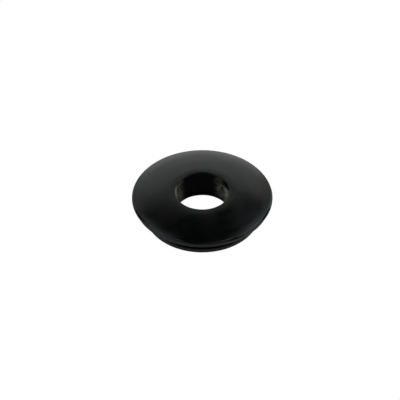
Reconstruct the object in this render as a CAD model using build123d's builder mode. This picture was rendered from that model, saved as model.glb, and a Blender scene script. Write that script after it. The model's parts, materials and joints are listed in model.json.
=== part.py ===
"""Gladhand seal: the moulded rubber ring that closes the face of a palm-type air-brake coupling.

One solid of revolution about Z, standing on its retaining lip with the sealing face up.
From the bottom: a retaining lip that snaps in under the coupling's rim, a groove that takes
that rim, and a wide flange with a tapered edge, domed up to a flat land round the air bore.
Millimetres; the origin is the centre of the foot, and +Z is the axis of the bore.
"""

import os
from math import cos, isclose, radians, sin, tan

from build123d import *

# Air bore
bore_diameter = 17.0
bore_mouth_radius = 0.5  # rounding where the bore opens into the sealing land
bore_foot_bevel = 0.4

# Flange: its edge is widest at the mould's parting line
face_diameter = 44.5
edge_height = 1.75  # from the flat underside up to the parting line
edge_taper = 23.5  # degrees from upright by which the edge draws in below the parting line
rim_radius = 1.25  # rounding above the parting line
rim_slope = 70.0  # degrees from level at which that rounding meets the parting line
heel_bevel = 0.3  # between the tapered edge and the underside

# Dome: a shoulder inside the rim, a straight flank, and a crest that ends level at the land
dome_slope = 19.0  # degrees from level where the shoulder leaves the rim
shoulder_width = 3.0
flank_slope = 9.3
crest_width = 5.5  # the flank fills what lies between shoulder and crest
land_width = 0.5  # flat sealing land between the crest and the bore's mouth

# Groove for the coupling's rim
groove_width = 3.55
groove_depth = 2.9  # measured in from the side of the retaining lip

# Retaining lip
lip_setback = 3.85  # how far the lip's side stands inside the parting line
lip_height = 2.0
lip_lead_radius = 0.85  # lower corner, which leads the lip into the coupling
lip_hook_bevel = 0.3  # upper corner, which hooks under the coupling's rim

# Worked out from the sizes above
bore_radius = bore_diameter / 2
face_radius = face_diameter / 2
lip_radius = face_radius - lip_setback
neck_radius = lip_radius - groove_depth
underside_height = lip_height + groove_width
parting_height = underside_height + edge_height
heel_radius = face_radius - edge_height * tan(radians(edge_taper))
land_radius = bore_radius + bore_mouth_radius + land_width


def dome_arc(start, slope_in, slope_out, width):
    """Arc that climbs inwards from start over a radial width, easing between two slopes."""
    return JernArc(
        start=start,
        tangent=(-cos(radians(slope_in)), sin(radians(slope_in))),
        radius=width / (sin(radians(slope_in)) - sin(radians(slope_out))),
        arc_size=slope_in - slope_out,
    )


def ring_edge(radius, height):
    """The seal's circular edge of this radius at this height."""
    return gladhand_seal.edges().filter_by(
        lambda edge: edge.geom_type == GeomType.CIRCLE
        and isclose(edge.radius, radius, abs_tol=1e-5)
        and isclose(edge.arc_center.Z, height, abs_tol=1e-5)
    )


with BuildPart() as gladhand_seal:
    with BuildSketch(Plane.XZ):
        with BuildLine():
            # From the parting line up round the rim and in over the dome
            rim = JernArc(
                start=(face_radius, parting_height),
                tangent=(-cos(radians(rim_slope)), sin(radians(rim_slope))),
                radius=rim_radius,
                arc_size=rim_slope - dome_slope,
            )
            shoulder = dome_arc(rim @ 1, dome_slope, flank_slope, shoulder_width)
            flank = PolarLine(
                start=shoulder @ 1,
                length=(shoulder @ 1).X - crest_width - land_radius,
                angle=180 - flank_slope,
                length_mode=LengthMode.HORIZONTAL,
            )
            crest = dome_arc(flank @ 1, flank_slope, 0, crest_width)
            land_height = (crest @ 1).Y
            # From the parting line down the tapered edge and on round to the dome
            Polyline(
                rim @ 0,
                (heel_radius, underside_height),
                (neck_radius, underside_height),
                (neck_radius, lip_height),
                (lip_radius, lip_height),
                (lip_radius, 0),
                (bore_radius, 0),
                (bore_radius, land_height),
                crest @ 1,
            )
        make_face()
    revolve(axis=Axis.Z)
    fillet(ring_edge(bore_radius, land_height), bore_mouth_radius)
    fillet(ring_edge(lip_radius, 0), lip_lead_radius)
    chamfer(ring_edge(lip_radius, lip_height), lip_hook_bevel)
    chamfer(ring_edge(heel_radius, underside_height), heel_bevel)
    chamfer(ring_edge(bore_radius, 0), bore_foot_bevel)

gladhand_seal.part.label = "gladhand_seal"
os.makedirs("parts", exist_ok=True)
export_step(gladhand_seal.part, "parts/gladhand_seal.step")
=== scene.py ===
import json
import bpy
import numpy as np
from mathutils import Matrix
from mathutils import Vector


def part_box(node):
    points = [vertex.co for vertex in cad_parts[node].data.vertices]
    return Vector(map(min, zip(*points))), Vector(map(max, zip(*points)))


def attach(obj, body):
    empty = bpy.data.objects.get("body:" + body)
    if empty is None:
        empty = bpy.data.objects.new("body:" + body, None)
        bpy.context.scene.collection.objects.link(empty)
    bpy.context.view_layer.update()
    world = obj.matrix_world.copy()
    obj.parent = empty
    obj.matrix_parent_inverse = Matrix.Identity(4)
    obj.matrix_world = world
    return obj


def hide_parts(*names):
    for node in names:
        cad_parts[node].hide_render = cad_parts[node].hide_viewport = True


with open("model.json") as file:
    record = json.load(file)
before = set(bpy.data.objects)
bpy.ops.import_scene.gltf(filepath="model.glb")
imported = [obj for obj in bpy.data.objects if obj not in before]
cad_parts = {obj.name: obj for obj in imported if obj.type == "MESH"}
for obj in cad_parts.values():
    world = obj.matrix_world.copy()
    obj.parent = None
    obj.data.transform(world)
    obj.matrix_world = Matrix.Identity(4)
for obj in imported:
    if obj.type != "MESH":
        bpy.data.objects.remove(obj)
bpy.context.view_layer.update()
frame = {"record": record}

print("seal: frame loaded")

mm = 0.001
boreMount = next(m for m in frame["record"]["mounts"] if m["name"] == "air_bore")
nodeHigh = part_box("gladhand_seal")[1]

sealMoulding = {  # metres and degrees
    # the section: the solid's sizes, apart from those noted, with small roundings for its bevels and sharp
    # corners, and one smooth curve for its dome
    "boreRadius": boreMount["dims"]["r_mm"] * mm,
    "faceRadius": nodeHigh.x,
    "height": nodeHigh.z,
    "partingHeight": 7.3 * mm,  # where the edge is widest
    "undersideHeight": 5.55 * mm,
    "lipHeight": 1.85 * mm,  # the solid's is 2.0
    "lipRadius": 18.4 * mm,
    "neckRadius": 15.5 * mm,
    "landWidth": 0.5 * mm,
    "mouthRound": 0.3 * mm,  # the solid's is 0.5
    "domeReach": (0.0, 0.05, 0.14, 0.26, 0.73, 1.0),  # shares of the way from the land to the rim
    "domeSlope": (0.0, 0.4, 3.8, 5.6, 11.0, 20.5),  # how steeply the dome falls at each of them
    "rimRound": 1.25 * mm,
    "rimEnd": 70.0,  # how steep the rim is where it meets the parting line
    "partingRound": 0.08 * mm,
    "edgeTaper": 23.5,
    "heelRound": 0.4 * mm,
    "rootRound": 0.45 * mm,
    "hookRound": 0.22 * mm,
    "leadRound": 0.85 * mm,
    "footRound": 0.45 * mm,
    # how the moulding departs from that section; each entry for waves gives the most round the seal, the
    # most along its section, and how many are added up
    "flashHeight": 0.035 * mm,  # thin ridge left where the two mould halves meet
    "flashWidth": 0.06 * mm,
    "flashUneven": 0.28,  # share of the ridge's height that varies either way
    "flashWaves": (60, 1, 50),
    "skinWave": 0.012 * mm,  # long shallow unevenness of the cured rubber
    "skinWaves": (9, 14, 60),
    "boreWave": 0.035 * mm,  # the bore wall comes off its core pin rougher
    "boreWaves": (34, 60, 90),
    "seed": 31,
    # where the bore wall's roughness and finish end
    "wallReach": 0.45 * mm,  # the roughness ends this far out from the bore
    "wallFade": 0.4 * mm,  # and fades over this width
    "mouthFade": 0.8 * mm,  # and over this depth below the land
    "wallSlack": 0.1 * mm,  # the finish takes in what lies this near the bore
    "mouthSlack": 0.02 * mm,  # and this far up the mouth's rounding
    # even dust on the lip, which also paints in the floor's reflection there
    "lipDustAndReflection": 0.11,  # share of full cover
    "lipFade": 0.4 * mm,  # it fades inwards over this width
    "hookFade": 0.3 * mm,  # and upwards over this height
    # powder in the bore, with a painted highlight on the left wall and painted shade under the mouth on the
    # right: where each rise starts, where it is full, and its strength; places are degrees round from the
    # right, or shares of the seal's height
    "patchStarts": (-40, -18, 0.8),
    "patchThins": (16, 46, 0.58),
    "patchEnds": (47, 68, 1),
    "patchFoot": (0.45, 0.15, 0.38),
    # painted shade: powder is left out in a crescent under the mouth on the right, where shade falls
    "paintedShadeStarts": (-6, 8, 1),
    "paintedShadeThins": (34, 52, 0.4),
    "paintedShadeHeight": (0.68, 0.82, 1),
    # painted highlight: pale powder on the left wall where a grazing reflection lies
    "paintedHighlightHaze": (128, 148, 0.23),
    "paintedHighlightCore": (154, 174, 1.5),
    "paintedHighlightEnds": (198, 222, 1),
    "paintedHighlightTop": (0.6, 0.85, 0.3),
    "frontTrace": (0.1, 1, 0.17),  # by how squarely the wall stands at the front
    # the mesh
    "around": 400,
    "along": 244,
    "arcPoints": 48,
    "domePoints": 600,
    "bendShare": 0.0011,  # metres of the section that one radian of bend counts for
    "mostBend": 0.6,  # radians; a sharper bend counts as this one
}


def unit(v):
    # a direction scaled to length one
    return v / np.linalg.norm(v, axis=-1, keepdims=True)


def roundedCorners(corners, radii, samples):
    # A closed polygon with an arc at each corner. Where a corner turns by an angle, its arc starts at the
    # radius times the tangent of half the angle before the corner, and its points are the arc's centre
    # plus the radius times a normal that turns evenly from one side's to the next side's.
    before = unit(corners - np.roll(corners, 1, axis=0))
    after = unit(np.roll(corners, -1, axis=0) - corners)
    turn = np.arctan2(
        before[:, 0] * after[:, 1] - before[:, 1] * after[:, 0],
        (before * after).sum(1),
    )
    side = np.sign(turn)
    start = corners - before * (radii * np.tan(np.abs(turn) / 2))[:, None]
    inward = np.stack([-before[:, 1], before[:, 0]], 1) * side[:, None]
    centre = start + inward * radii[:, None]
    angle = turn[:, None] * np.linspace(0, 1, samples)
    arm = -inward[:, None, :] * radii[:, None, None]
    turned = np.stack([
        arm[..., 0] * np.cos(angle) - arm[..., 1] * np.sin(angle),
        arm[..., 0] * np.sin(angle) + arm[..., 1] * np.cos(angle),
    ], -1)
    return centre[:, None, :] + turned


def sealLoop(s):
    # The section as a closed loop: up the bore, out over the dome, down the edge and back round the lip. The
    # dome falls by the tangent of its slope, added up from the land outwards, and is scaled to meet the
    # rim, whose arc steepens until it ends at the parting line's small rounding. All other corners of the
    # section are arcs between straight runs.
    taper = np.tan(np.radians(s["edgeTaper"]))
    rimSlope = np.radians(s["domeSlope"][-1])
    rimEnd = np.radians(s["rimEnd"])
    parting = np.array([s["faceRadius"] - s["flashHeight"], s["partingHeight"]])
    room = s["partingRound"] * np.tan((np.radians(s["edgeTaper"] + 90) - rimEnd) / 2)
    reach = s["rimRound"] * np.tan((rimEnd - rimSlope) / 2)
    rimCorner = parting - (reach + room) * np.array([np.cos(rimEnd), -np.sin(rimEnd)])
    rimStart = rimCorner - reach * np.array([np.cos(rimSlope), -np.sin(rimSlope)])
    landRadius = s["boreRadius"] + s["mouthRound"] + s["landWidth"]
    share = np.linspace(0, 1, s["domePoints"])
    slope = np.tan(np.radians(np.interp(share, s["domeReach"], s["domeSlope"])))
    fall = np.concatenate([[0.0], np.cumsum((slope[1:] + slope[:-1]) / 2)])
    dome = np.stack([
        landRadius + share * (rimStart[0] - landRadius),
        s["height"] - fall / fall[-1] * (s["height"] - rimStart[1]),
    ], 1)
    meeting = rimCorner[0] - (s["height"] - rimCorner[1]) / np.tan(rimSlope)
    heelRadius = parting[0] - (s["partingHeight"] - s["undersideHeight"]) * taper
    corners = np.array([
        (s["boreRadius"], 0.0, s["footRound"]),
        (s["boreRadius"], s["height"], s["mouthRound"]),
        (meeting, s["height"], 0.0),  # the dome takes the place of this one
        (rimCorner[0], rimCorner[1], s["rimRound"]),
        (parting[0], parting[1], s["partingRound"]),
        (heelRadius, s["undersideHeight"], s["heelRound"]),
        (s["neckRadius"], s["undersideHeight"], s["rootRound"]),
        (s["neckRadius"], s["lipHeight"], s["rootRound"]),
        (s["lipRadius"], s["lipHeight"], s["hookRound"]),
        (s["lipRadius"], 0.0, s["leadRound"]),
    ])
    arcs = roundedCorners(corners[:, :2], corners[:, 2], s["arcPoints"])
    return np.concatenate([arcs[0], arcs[1], dome, *arcs[3:]])


def evenLoop(loop, s):
    # The same loop with a set count of points, closer together where it bends: each step has an equal share
    # of length plus a share for the angle that the loop turns through. Each point comes with the share of
    # the loop's length that lies before it.
    noLength = 1e-9  # a step this short has no heading
    closed = np.vstack([loop, loop[:1]])
    step = np.diff(closed, axis=0)
    length = np.hypot(step[:, 0], step[:, 1])
    heading = np.arctan2(step[:, 1], step[:, 0])
    bend = np.abs((np.diff(heading, append=heading[:1]) + np.pi) % (2 * np.pi) - np.pi)
    bend[length < noLength] = 0
    weight = length + s["bendShare"] * np.minimum(bend, s["mostBend"])
    place = np.concatenate([[0.0], np.cumsum(weight)])
    run = np.concatenate([[0.0], np.cumsum(length)])
    wanted = np.linspace(0, place[-1], s["along"], endpoint=False)
    points = np.stack([np.interp(wanted, place, closed[:, k]) for k in (0, 1)], 1)
    return points, np.interp(wanted, place, run) / run[-1]


def waveField(around, along, waves, seed):
    # Unevenness that closes on itself: a sum of cosines with whole numbers of waves around the seal and
    # along its section, random in phase, each weaker the shorter it is. It runs from about -1 to 1.
    mostAround, mostAlong, count = waves
    weakening = 3  # about how many times weaker the shortest waves are
    peak = 2.5  # how many times the sum's usual size its peaks are
    rng = np.random.default_rng(seed)
    nu = rng.integers(-mostAround, mostAround + 1, count)
    nv = rng.integers(0, mostAlong + 1, count)
    phase = rng.uniform(0, 2 * np.pi, count)
    strength = 1 / np.sqrt(1 + (nu / mostAround * weakening) ** 2 + (nv / mostAlong * weakening) ** 2)
    total = np.zeros(np.broadcast(around, along).shape)
    for k in range(count):
        total += strength[k] * np.cos(nu[k] * around + nv[k] * along + phase[k])
    return total / np.sqrt((strength ** 2).sum() / 2) / peak


def ringMesh(name, points):
    # A grid of points, rows along and columns around, made into quads that close in both directions. Rows
    # that run with the solid on their right give faces that point outwards.
    rows, columns = points.shape[:2]
    row = np.arange(rows)[:, None] * columns
    column = np.arange(columns)[None, :]
    nextRow = np.roll(row, -1)
    nextColumn = np.roll(column, -1)
    quads = np.stack([row + column, nextRow + column, nextRow + nextColumn, row + nextColumn], -1)
    quads = quads.reshape(-1, 4)
    mesh = bpy.data.meshes.new(name)
    mesh.vertices.add(rows * columns)
    mesh.vertices.foreach_set("co", points.reshape(-1).astype(np.float32))
    mesh.loops.add(quads.size)
    mesh.loops.foreach_set("vertex_index", quads.reshape(-1).astype(np.int32))
    mesh.polygons.add(len(quads))
    mesh.polygons.foreach_set("loop_start", np.arange(0, quads.size, 4, dtype=np.int32))
    mesh.polygons.foreach_set("use_smooth", np.ones(len(quads), bool))
    mesh.update(calc_edges=True)
    mesh.validate()
    made = bpy.data.objects.new(name, mesh)
    bpy.context.scene.collection.objects.link(made)
    return made


def rise(value, start, full, strength=1):
    # 0 up to the start, the strength from full on, and an even S between them
    share = np.clip((value - start) / (full - start), 0, 1)
    return strength * (share * share * (3 - 2 * share))


def borePowder(around, level, s):
    # How thickly mould powder lies on the bore wall, with painted light in it, each part a product of rises.
    # A patch on the right thins out backwards and towards the foot, and is left out under the mouth as
    # painted shade. A painted highlight on the left, pale powder where a grazing reflection lies, starts as
    # a haze and is thinner near the mouth. The front has a trace. The thickest part counts.
    turn = np.degrees(around)
    right = (turn + 90) % 360 - 90
    patch = rise(right, *s["patchStarts"]) * (1 - rise(right, *s["patchThins"]))
    patch = patch * (1 - rise(right, *s["patchEnds"])) * (1 - rise(level, *s["patchFoot"]))
    paintedShade = rise(right, *s["paintedShadeStarts"]) * (1 - rise(right, *s["paintedShadeThins"]))
    paintedShade = paintedShade * rise(level, *s["paintedShadeHeight"])
    paintedHighlight = rise(turn, *s["paintedHighlightHaze"]) + rise(turn, *s["paintedHighlightCore"])
    paintedHighlight = paintedHighlight * (1 - rise(turn, *s["paintedHighlightEnds"])) * (1 - rise(level, *s["paintedHighlightTop"]))
    trace = rise(-np.sin(around), *s["frontTrace"])
    return np.maximum(np.maximum(patch * (1 - paintedShade), paintedHighlight), trace)


def buildSeal(s):
    # A point of the seal is its section point carried round the axis and pushed along the section's
    # outward normal by the flash ridge and the unevenness at that angle and place.
    loop, way = evenLoop(sealLoop(s), s)
    ahead = np.roll(loop, -1, axis=0) - np.roll(loop, 1, axis=0)
    normal = unit(np.stack([-ahead[:, 1], ahead[:, 0]], 1))
    around = (np.arange(s["around"]) * (2 * np.pi / s["around"]))[None, :]
    along = (way * 2 * np.pi)[:, None]
    radius = loop[:, 0][:, None]
    height = loop[:, 1][:, None]
    onBore = np.clip((s["boreRadius"] + s["wallReach"] - radius) / s["wallFade"], 0, 1)
    onBore = onBore * np.clip((s["height"] - height) / s["mouthFade"], 0, 1)
    skinWave = waveField(around, along, s["skinWaves"], s["seed"])
    boreWave = waveField(around, along, s["boreWaves"], s["seed"] + 1)
    flashWave = waveField(around, along * 0, s["flashWaves"], s["seed"] + 2)
    fromParting = np.hypot(radius - (s["faceRadius"] - s["flashHeight"]), height - s["partingHeight"])
    ridge = np.exp(-(fromParting / s["flashWidth"]) ** 2)
    ridge = ridge * (1 - s["flashUneven"] + s["flashUneven"] * np.clip(flashWave, -1, 1))
    push = ridge * s["flashHeight"]
    push = push + (skinWave - 1) * s["skinWave"] * (1 - onBore)
    push = push + boreWave * s["boreWave"] * onBore
    r = np.minimum(radius + normal[:, 0][:, None] * push, s["faceRadius"])
    z = np.clip(height + normal[:, 1][:, None] * push, 0, s["height"])
    made = ringMesh("moulded_seal", np.stack([r * np.cos(around), r * np.sin(around), z], -1))
    mesh = made.data
    onWall = loop[:, 0] < s["boreRadius"] + s["wallSlack"]
    onWall = onWall & (loop[:, 1] < s["height"] - s["mouthRound"] + s["mouthSlack"])
    slots = np.repeat(onWall & np.roll(onWall, -1), s["around"])
    mesh.polygons.foreach_set("material_index", slots.astype(np.int32))
    onLip = np.clip((radius - s["lipRadius"] + s["leadRound"]) / s["lipFade"], 0, 1)
    onLip = onLip * np.clip((s["lipHeight"] - height) / s["hookFade"], 0, 1)
    # mould powder in the bore, with a painted highlight on the left and painted shade under the mouth; dust
    # on the lip that also paints in the floor's reflection
    clingAndLight = onBore * borePowder(around, height / s["height"], s)
    dustAndReflection = onLip * s["lipDustAndReflection"]
    for label, value in (("boreWall", onBore), ("clingAndPaintedLight", clingAndLight), ("dustVeil", dustAndReflection)):
        everywhere = np.broadcast_to(value, push.shape).reshape(-1)
        attribute = mesh.attributes.new(label, "FLOAT", "POINT")
        attribute.data.foreach_set("value", everywhere.astype(np.float32))
    return made


seal = buildSeal(sealMoulding)
print("seal: moulded ring built,", len(seal.data.polygons), "quads")

rubberFinish = {  # scales are per metre
    "black": (0.0010, 0.0024, 0.0021, 1),
    "blackWarm": (0.0018, 0.0022, 0.0018, 1),
    "cloudScale": 160.0,
    "cloudTint": (0.35, 0.65),  # the cloud's levels where one black ends and the other is full
    "cloudGloss": (0.3, 0.7, 0.19, 0.26),  # two of its levels, then the roughness at each
    "ior": 1.5,
    "boreIor": 1.27,  # the bore wall shines less
    "boreRoughness": 0.34,
    "grainFineness": 5200.0,
    "grainDepth": 0.0035 * mm,
    "grainSecond": (2.7, 0.5),  # the second grain: how many times finer it is, and how strong
    "ringSpacing": 0.28 * mm,
    "ringDepth": 0.001 * mm,
    "rippleScale": 260.0,
    "rippleDepth": 0.006 * mm,
    # also the colour of the painted highlight in the bore and of the painted floor reflection on the lip
    "powderAndPaintedLightColour": (0.65, 0.6, 0.5, 1),
    "powderRoughness": 0.75,
    "powderPatch": 640.0,
    "powderFleck": (7.0, 0.5),  # the flecks: how many times finer than the patches, and how strong
    "powderThick": (0.61, 0.89, 0.1, 2.0),  # two levels of the noise, then how thick the powder is at each
    "powderBroken": (0.3, 0.7, 0.62, 1.0),  # two levels of the flecks, then the share that each leaves
    "speckColour": (0.16, 0.16, 0.15, 1),
    "speckShare": 0.05,
    "speckScale": 520.0,
    "speckSize": (0.03, 0.10),  # least and greatest, in cells
}


def newMaterial(name):
    # an empty node material, with its nodes and links
    material = bpy.data.materials.new(name)
    material.use_nodes = True
    material.node_tree.nodes.clear()
    return material, material.node_tree.nodes, material.node_tree.links


def newGroup(name, numbers, result):
    # a shader group that takes a vector and some named numbers, and gives one number
    group = bpy.data.node_groups.new(name, "ShaderNodeTree")
    group.interface.new_socket("Vector", in_out="INPUT", socket_type="NodeSocketVector")
    for label in numbers:
        group.interface.new_socket(label, in_out="INPUT", socket_type="NodeSocketFloat")
    group.interface.new_socket(result, in_out="OUTPUT", socket_type="NodeSocketFloat")
    enter = group.nodes.new("NodeGroupInput").outputs
    leave = group.nodes.new("NodeGroupOutput").inputs[0]
    return group, enter, leave


def feed(tree, socket, term):
    # gives a socket another node's output, or a plain number or colour
    if isinstance(term, bpy.types.NodeSocket):
        tree.links.new(term, socket)
    else:
        socket.default_value = term


def mathNode(tree, operation, *terms, clamp=False):
    # one Math node; each term is a socket or a number
    node = tree.nodes.new("ShaderNodeMath")
    node.operation = operation
    node.use_clamp = clamp
    for slot, term in enumerate(terms):
        feed(tree, node.inputs[slot], term)
    return node.outputs[0]


def noiseNode(tree, vector, scale, detail, roughness, distortion=0.0):
    # one Noise Texture; its scale is a socket or a number
    node = tree.nodes.new("ShaderNodeTexNoise")
    feed(tree, node.inputs["Vector"], vector)
    feed(tree, node.inputs["Scale"], scale)
    node.inputs["Detail"].default_value = detail
    node.inputs["Roughness"].default_value = roughness
    node.inputs["Distortion"].default_value = distortion
    return node.outputs["Fac"]


def spanNode(tree, value, low, high, toLow=0.0, toHigh=1.0, smooth=True):
    # maps low..high to toLow..toHigh and stops at the ends
    node = tree.nodes.new("ShaderNodeMapRange")
    node.interpolation_type = "SMOOTHSTEP" if smooth else "LINEAR"
    feed(tree, node.inputs["Value"], value)
    feed(tree, node.inputs["From Min"], low)
    feed(tree, node.inputs["From Max"], high)
    feed(tree, node.inputs["To Min"], toLow)
    feed(tree, node.inputs["To Max"], toHigh)
    return node.outputs["Result"]


mixSlots = {"FLOAT": (2, 3, 0), "RGBA": (6, 7, 2)}  # the Mix node's two inputs and its output, by kind


def mixNode(tree, kind, share, first, second):
    # passes from the first to the second as the share grows from 0 to 1
    firstSlot, secondSlot, output = mixSlots[kind]
    node = tree.nodes.new("ShaderNodeMix")
    node.data_type = kind
    feed(tree, node.inputs[0], share)
    feed(tree, node.inputs[firstSlot], first)
    feed(tree, node.inputs[secondSlot], second)
    return node.outputs[output]


def bumpNode(tree, height, distance, below=None):
    # raises the surface by the height times the distance, over the normal from below
    node = tree.nodes.new("ShaderNodeBump")
    node.inputs["Distance"].default_value = distance
    feed(tree, node.inputs["Height"], height)
    if below is not None:
        feed(tree, node.inputs["Normal"], below)
    return node.outputs["Normal"]


def attributeNode(tree, label):
    # reads a number that the mesh carries at its points
    node = tree.nodes.new("ShaderNodeAttribute")
    node.attribute_name = label
    return node.outputs["Fac"]


def placeGroup(tree, group, **values):
    # puts a shared group into a material, with the material's own values
    node = tree.nodes.new("ShaderNodeGroup")
    node.node_tree = group
    for label, term in values.items():
        feed(tree, node.inputs[label], term)
    return node.outputs[0]


def mouldedGrainGroup(f):
    # fine pebbled skin of cured rubber: two sizes of noise, the smaller one weaker
    tree, enter, leave = newGroup("mouldedGrain", ["Fineness"], "Height")
    timesFiner, share = f["grainSecond"]
    coarse = noiseNode(tree, enter["Vector"], enter["Fineness"], detail=2.0, roughness=0.55)
    finer = mathNode(tree, "MULTIPLY", enter["Fineness"], timesFiner)
    fine = noiseNode(tree, enter["Vector"], finer, detail=2.0, roughness=0.5)
    tree.links.new(mathNode(tree, "MULTIPLY_ADD", fine, share, coarse), leave)
    return tree


def turningMarksGroup():
    # faint rings left in the mould by its lathe: noise along the distance from the axis alone
    tree, enter, leave = newGroup("turningMarks", ["Spacing"], "Height")
    flat = tree.nodes.new("ShaderNodeVectorMath")
    flat.operation = "MULTIPLY"
    flat.inputs[1].default_value = (1, 1, 0)
    tree.links.new(enter["Vector"], flat.inputs[0])
    length = tree.nodes.new("ShaderNodeVectorMath")
    length.operation = "LENGTH"
    tree.links.new(flat.outputs["Vector"], length.inputs[0])
    rings = tree.nodes.new("ShaderNodeTexNoise")
    rings.noise_dimensions = "1D"
    rings.inputs["Detail"].default_value = 2.0
    rings.inputs["Scale"].default_value = 1.0
    count = mathNode(tree, "DIVIDE", length.outputs["Value"], enter["Spacing"])
    tree.links.new(count, rings.inputs["W"])
    tree.links.new(rings.outputs["Fac"], leave)
    return tree


def powderGroup(f):
    # Patchy mould powder, which also carries the bore's painted highlight and the lip's painted reflection:
    # broad noise makes it thick or thin, and fine noise breaks it into flecks and thins it wherever it lies.
    # The lip's even dust, which also paints in the floor's reflection, is broken up by the fine noise alone.
    tree, enter, leave = newGroup("mouldPowderAndPaintedLight", ["Cover", "Veil", "Patch"], "Mask")
    timesFiner, share = f["powderFleck"]
    broad = noiseNode(tree, enter["Vector"], enter["Patch"], detail=4.0, roughness=0.65, distortion=0.6)
    finer = mathNode(tree, "MULTIPLY", enter["Patch"], timesFiner)
    fleck = noiseNode(tree, enter["Vector"], finer, detail=3.0, roughness=0.6)
    level = mathNode(tree, "MULTIPLY_ADD", fleck, share, broad)
    held = mathNode(tree, "MULTIPLY", spanNode(tree, level, *f["powderThick"]), enter["Cover"])
    held = mathNode(tree, "ADD", held, enter["Veil"], clamp=True)
    broken = spanNode(tree, fleck, *f["powderBroken"])
    tree.links.new(mathNode(tree, "MULTIPLY", held, broken), leave)
    return tree


def dustSpeckGroup(f):
    # scattered lint and dust: only the very middle of a few cells of a Voronoi pattern
    tree, enter, leave = newGroup("dustSpecks", ["Scale", "Share"], "Mask")
    cells = tree.nodes.new("ShaderNodeTexVoronoi")
    tree.links.new(enter["Vector"], cells.inputs["Vector"])
    tree.links.new(enter["Scale"], cells.inputs["Scale"])
    split = tree.nodes.new("ShaderNodeSeparateColor")
    tree.links.new(cells.outputs["Color"], split.inputs[0])
    chosen = mathNode(tree, "LESS_THAN", split.outputs[0], enter["Share"])
    size = spanNode(tree, split.outputs[1], 0.0, 1.0, *f["speckSize"], smooth=False)
    near = mathNode(tree, "LESS_THAN", cells.outputs["Distance"], size)
    tree.links.new(mathNode(tree, "MULTIPLY", chosen, near), leave)
    return tree


def rubberMaterial(name, f, ior, grain, marks, powder, specks):
    # Black rubber, clouded in tint and gloss, duller on the bore wall. Powder and specks cover its colour
    # and dull it, and its surface has ripples, then turning rings, then grain. The powder's colour also
    # paints a highlight and shade in the bore, and the floor's reflection on the lip.
    material, nodes, links = newMaterial(name)
    tree = material.node_tree
    place = nodes.new("ShaderNodeTexCoord").outputs["Object"]
    clingAndLight = attributeNode(tree, "clingAndPaintedLight")
    dustAndReflection = attributeNode(tree, "dustVeil")
    cloud = noiseNode(tree, place, f["cloudScale"], detail=3.0, roughness=0.5)
    powderAndPaintedLight = placeGroup(tree, powder, Vector=place, Cover=clingAndLight, Veil=dustAndReflection, Patch=f["powderPatch"])
    speckled = placeGroup(tree, specks, Vector=place, Scale=f["speckScale"], Share=f["speckShare"])
    body = mixNode(tree, "RGBA", spanNode(tree, cloud, *f["cloudTint"]), f["black"], f["blackWarm"])
    # the powder's colour here also paints a highlight in the bore and the floor's reflection on the lip
    body = mixNode(tree, "RGBA", powderAndPaintedLight, body, f["powderAndPaintedLightColour"])
    body = mixNode(tree, "RGBA", speckled, body, f["speckColour"])
    gloss = spanNode(tree, cloud, *f["cloudGloss"])
    gloss = mixNode(tree, "FLOAT", attributeNode(tree, "boreWall"), gloss, f["boreRoughness"])
    covered = mathNode(tree, "MAXIMUM", powderAndPaintedLight, speckled)
    gloss = mixNode(tree, "FLOAT", covered, gloss, f["powderRoughness"])
    ripple = noiseNode(tree, place, f["rippleScale"], detail=2.0, roughness=0.4)
    rings = placeGroup(tree, marks, Vector=place, Spacing=f["ringSpacing"])
    skin = placeGroup(tree, grain, Vector=place, Fineness=f["grainFineness"])
    normal = bumpNode(tree, ripple, f["rippleDepth"])
    normal = bumpNode(tree, rings, f["ringDepth"], normal)
    normal = bumpNode(tree, skin, f["grainDepth"], normal)
    shader = nodes.new("ShaderNodeBsdfPrincipled")
    shader.inputs["IOR"].default_value = ior
    links.new(body, shader.inputs["Base Color"])
    links.new(gloss, shader.inputs["Roughness"])
    links.new(normal, shader.inputs["Normal"])
    out = nodes.new("ShaderNodeOutputMaterial")
    links.new(shader.outputs["BSDF"], out.inputs["Surface"])
    return material


skinGroups = (
    mouldedGrainGroup(rubberFinish),
    turningMarksGroup(),
    powderGroup(rubberFinish),
    dustSpeckGroup(rubberFinish),
)
for label, ior in (("satinRubber", rubberFinish["ior"]), ("boreRubber", rubberFinish["boreIor"])):
    seal.data.materials.append(rubberMaterial(label, rubberFinish, ior, *skinGroups))
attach(seal, "root")
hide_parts("gladhand_seal")
print("seal: rubber done")

studio = {
    "floorReach": 3.0,
    "floorPoints": 9,  # along each side
    "floorColour": (0.80, 0.80, 0.79, 1),
    "white": (1, 1, 1, 1),
    "worldGlow": 0.004,
    "lampDistance": 0.9,
    "lampWidth": 30,  # degrees; a wider or taller bank is several lamps
    "lampHeight": 20,
}

lampTints = {"plain": (0.97, 1.0, 0.98), "cool": (0.88, 1.0, 1.1), "warm": (1.02, 1.0, 0.88)}

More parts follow.
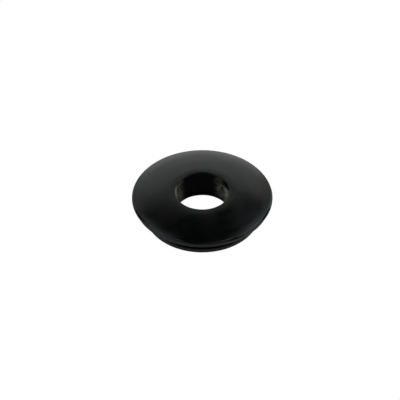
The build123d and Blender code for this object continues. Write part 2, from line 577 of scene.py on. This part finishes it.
studioLamps = [  # name; azimuth from and to, elevation from and to, in degrees from the seal; glow; tint
    ("backLow", 70, 110, 0, 24, 1.1, "plain"),
    ("backMiddle", 70, 110, 24, 41, 0.7, "plain"),
    ("backHigh", 80, 130, 41, 48, 0.15, "plain"),
    ("backRight", 60, 70, 0, 41, 0.5, "warm"),
    ("backFarRight", 50, 60, 0, 48, 0.3, "cool"),
    ("backLeft", 110, 120, 16, 32, 0.75, "plain"),
    ("backLeftHigh", 110, 130, 32, 41, 0.55, "plain"),
    ("leftBackLow", 120, 150, 0, 24, 0.5, "plain"),
    ("leftBackHigh", 130, 150, 24, 60, 0.5, "plain"),
    ("leftHigh", 150, 190, 48, 60, 0.95, "plain"),
    ("leftTop", 135, 165, 60, 72, 0.5, "cool"),
    ("left", 170, 190, 0, 48, 0.6, "plain"),
    ("leftFront", 190, 210, 0, 60, 0.6, "cool"),
    ("leftFrontLow", 210, 230, 0, 24, 0.7, "cool"),
    ("leftFrontHigh", 210, 230, 48, 60, 1.5, "plain"),
    ("frontLeftLow", 230, 250, 12, 24, 0.55, "plain"),
    ("frontLow", 250, 290, 4, 24, 0.2, "plain"),
    ("frontHigh", 270, 310, 36, 60, 0.2, "plain"),
    ("frontRightLow", 290, 310, 12, 36, 0.25, "warm"),
    ("rightFrontHigh", 310, 330, 48, 60, 1.4, "plain"),
    ("right", -30, 10, 0, 60, 0.7, "plain"),
    ("rightBack", 30, 50, 0, 60, 0.85, "cool"),
    ("rightHigh", 10, 30, 36, 60, 1.8, "cool"),
    ("rightTop", 15, 45, 60, 72, 0.3, "warm"),
    ("backRightHigh", 60, 70, 48, 60, 0.25, "cool"),
]


def whiteToTheEye(tree, dim, clean):
    # the dim shader for light that travels, the clean one for what the camera sees without a bounce
    path = tree.nodes.new("ShaderNodeLightPath")
    pick = tree.nodes.new("ShaderNodeMixShader")
    tree.links.new(path.outputs["Is Camera Ray"], pick.inputs[0])
    tree.links.new(dim.outputs[0], pick.inputs[1])
    tree.links.new(clean.outputs[0], pick.inputs[2])
    return pick.outputs[0]


def buildFloor(s):
    # a flat square grid, its height zero everywhere
    side = np.linspace(-s["floorReach"], s["floorReach"], s["floorPoints"])
    x, y = np.meshgrid(side, side)
    points = np.stack([x, y, np.zeros_like(x)], -1)
    rows, columns = x.shape
    corner = np.arange(rows - 1)[:, None] * columns + np.arange(columns - 1)[None, :]
    quads = np.stack([corner, corner + 1, corner + columns + 1, corner + columns], -1).reshape(-1, 4)
    mesh = bpy.data.meshes.new("studioFloor")
    mesh.from_pydata(points.reshape(-1, 3).tolist(), [], quads.tolist())
    floor = bpy.data.objects.new("studioFloor", mesh)
    bpy.context.scene.collection.objects.link(floor)
    material, nodes, links = newMaterial("paleSweep")
    paper = nodes.new("ShaderNodeBsdfDiffuse")
    paper.inputs["Color"].default_value = s["floorColour"]
    clean = nodes.new("ShaderNodeEmission")
    clean.inputs["Color"].default_value = s["white"]
    out = nodes.new("ShaderNodeOutputMaterial")
    links.new(whiteToTheEye(material.node_tree, paper, clean), out.inputs["Surface"])
    mesh.materials.append(material)


def buildWorld(s):
    # the air round the table: dim to the rubber, plain white to the eye, as the floor is
    world = bpy.data.worlds.new("studioAir")
    world.use_nodes = True
    nodes = world.node_tree.nodes
    nodes.clear()
    dim = nodes.new("ShaderNodeBackground")
    dim.inputs["Color"].default_value = s["white"]
    dim.inputs["Strength"].default_value = s["worldGlow"]
    clean = nodes.new("ShaderNodeBackground")
    clean.inputs["Color"].default_value = s["white"]
    out = nodes.new("ShaderNodeOutputWorld")
    world.node_tree.links.new(whiteToTheEye(world.node_tree, dim, clean), out.inputs["Surface"])
    bpy.context.scene.world = world


def softbox(s, name, azimuthFrom, azimuthTo, elevationFrom, elevationTo, glow, tint):
    # A bank of flat lamps side by side on a ball round the seal, each facing it. A lamp's power is pi times
    # its area times how bright it looks.
    columns = int(np.ceil((azimuthTo - azimuthFrom) / s["lampWidth"]))
    rows = int(np.ceil((elevationTo - elevationFrom) / s["lampHeight"]))
    across = np.radians((azimuthTo - azimuthFrom) / columns)
    upward = np.radians((elevationTo - elevationFrom) / rows)
    strongest = max(lampTints[tint])
    for column, row in np.ndindex(columns, rows):
        a = np.radians(azimuthFrom) + across * (column + 0.5)
        e = np.radians(elevationFrom) + upward * (row + 0.5)
        away = Vector((np.cos(a) * np.cos(e), np.sin(a) * np.cos(e), np.sin(e)))
        lamp = bpy.data.lights.new(name + "_" + str(column) + str(row), "AREA")
        lamp.shape = "RECTANGLE"
        lamp.size = float(2 * s["lampDistance"] * np.tan(across / 2) * np.cos(e))
        lamp.size_y = float(2 * s["lampDistance"] * np.tan(upward / 2))
        lamp.energy = float(np.pi * lamp.size * lamp.size_y * glow * strongest)
        lamp.color = [part / strongest for part in lampTints[tint]]
        made = bpy.data.objects.new(lamp.name, lamp)
        turn = away.to_track_quat("Z", "Y").to_matrix().to_4x4()
        made.matrix_world = Matrix.Translation(away * s["lampDistance"]) @ turn
        made.visible_camera = False
        bpy.context.scene.collection.objects.link(made)


buildFloor(studio)
buildWorld(studio)
for lampRow in studioLamps:
    softbox(studio, *lampRow)
print("seal: studio lit")

viewing = {
    "elevation": 42.3,  # degrees above the floor
    "distance": 0.667,
    "lens": 190.0,  # millimetres, as the sensor's width is
    "sensorWidth": 36.0,
    "roll": -0.2,  # degrees
    "aim": (-0.7 * mm, -1.05 * mm),  # past the ring's middle, rightwards and upwards in the view
    "aimHeight": 7.3 * mm,
    "nearest": 0.01,
    "farthest": 20.0,
}


def buildCamera(v):
    # looks along +Y and down at the aim, from the distance behind it, and is rolled about that line
    e = np.radians(v["elevation"])
    back = Vector((0, -np.cos(e), np.sin(e)))
    turn = Matrix.Rotation(np.radians(v["roll"]), 3, back) @ back.to_track_quat("Z", "Y").to_matrix()
    right = turn @ Vector((1, 0, 0))
    up = turn @ Vector((0, 1, 0))
    aim = Vector((0, 0, v["aimHeight"])) + right * v["aim"][0] + up * v["aim"][1]
    lensData = bpy.data.cameras.new("tableCamera")
    lensData.lens = v["lens"]
    lensData.sensor_width = v["sensorWidth"]
    lensData.clip_start = v["nearest"]
    lensData.clip_end = v["farthest"]
    camera = bpy.data.objects.new("tableCamera", lensData)
    camera.matrix_world = Matrix.Translation(aim + back * v["distance"]) @ turn.to_4x4()
    bpy.context.scene.collection.objects.link(camera)
    bpy.context.scene.camera = camera


buildCamera(viewing)
bpy.context.scene.view_settings.view_transform = "Standard"
print("seal: camera set")
